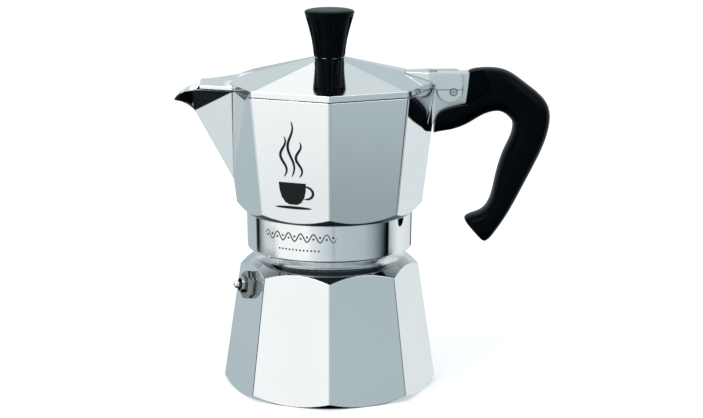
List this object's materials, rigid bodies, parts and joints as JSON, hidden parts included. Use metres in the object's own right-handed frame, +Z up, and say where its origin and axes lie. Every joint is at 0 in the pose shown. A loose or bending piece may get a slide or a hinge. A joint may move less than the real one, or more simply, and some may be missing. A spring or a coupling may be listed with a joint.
{
  "type": "stove-top moka pot",
  "caption": "Eight-sided aluminium stove-top moka pot: screwed boiler, funnel and filter, pouring jug with spout, hinged lid and black plastic handle and knob.",
  "frame": {"origin": "centre of the flat underside of the boiler, on the axis of the thread", "axes": "+Z up along the thread's axis, the spout points along -X and the handle along +X"},
  "size_m": [0.1579, 0.0908, 0.1609],
  "materials": {
    "boiler_cast": "polished cast aluminium",
    "jug_cast": "polished cast aluminium",
    "lid_pressing": "polished",
    "column_cast": "satin cast",
    "funnel_sheet": "satin spun sheet",
    "strainer_sheet": "satin punched sheet",
    "gasket_rubber": "matt moulded",
    "valve_seal": "matt",
    "valve_metal": "nickel-plated, slightly worn",
    "valve_stem": "bright",
    "spring_wire": "drawn wire",
    "steel_pin": "satin",
    "black_plastic": "satin-gloss moulded"
  },
  "bodies": {
    "boiler": {"boiler": "boiler_cast", "valve_washer": "valve_seal", "valve_body": "valve_metal", "valve_guide": "valve_metal"},
    "valve": {"valve_pin": "valve_stem", "valve_spring": "spring_wire"},
    "funnel": {"funnel_cup": "funnel_sheet", "funnel_stem": "funnel_sheet", "funnel_strainer": "strainer_sheet"},
    "gasket": {"gasket": "gasket_rubber"},
    "plate": {"filter_plate": "strainer_sheet"},
    "jug": {"jug": "jug_cast", "column": "column_cast", "column_cap": "column_cast", "hinge_pin": "steel_pin", "handle": "black_plastic", "handle_screw": "steel_pin"},
    "lid": {"lid": "lid_pressing", "knob": "black_plastic", "knob_washer": "steel_pin", "knob_screw": "steel_pin"}
  },
  "joints": [
    {"name": "valve_slide", "type": "slide", "parent": "boiler", "child": "valve", "axis": [-0.9154, -0.3792, 0.1348], "range_m": [0, 0.0012], "stiffness_N_per_m": 800, "springref_m": -0.002, "deforming": ["valve_spring"]},
    {"name": "funnel_lift", "type": "slide", "parent": "boiler", "child": "funnel", "axis": [0, 0, 1], "range_m": [0, 0.065]},
    {"name": "jug_rise", "type": "slide", "parent": "funnel", "child": "gasket", "axis": [0, 0, 1], "range_m": [0, 0.0046]},
    {"name": "jug_lift", "type": "slide", "parent": "gasket", "child": "plate", "axis": [0, 0, 1], "range_m": [0, 0.04]},
    {"name": "jug_turn", "type": "hinge", "parent": "plate", "child": "jug", "pos_m": [0, 0, 0], "axis": [0, 0, 1], "range_deg": [0, 540]},
    {"name": "lid_hinge", "type": "hinge", "parent": "jug", "child": "lid", "pos_m": [0.0518, 0, 0.1268], "axis": [0, 1, 0], "range_deg": [0, 95]}
  ],
  "couplings": [
    {"joint": "jug_rise", "follows": "jug_turn", "m_per_rad": 0.00047746}
  ]
}
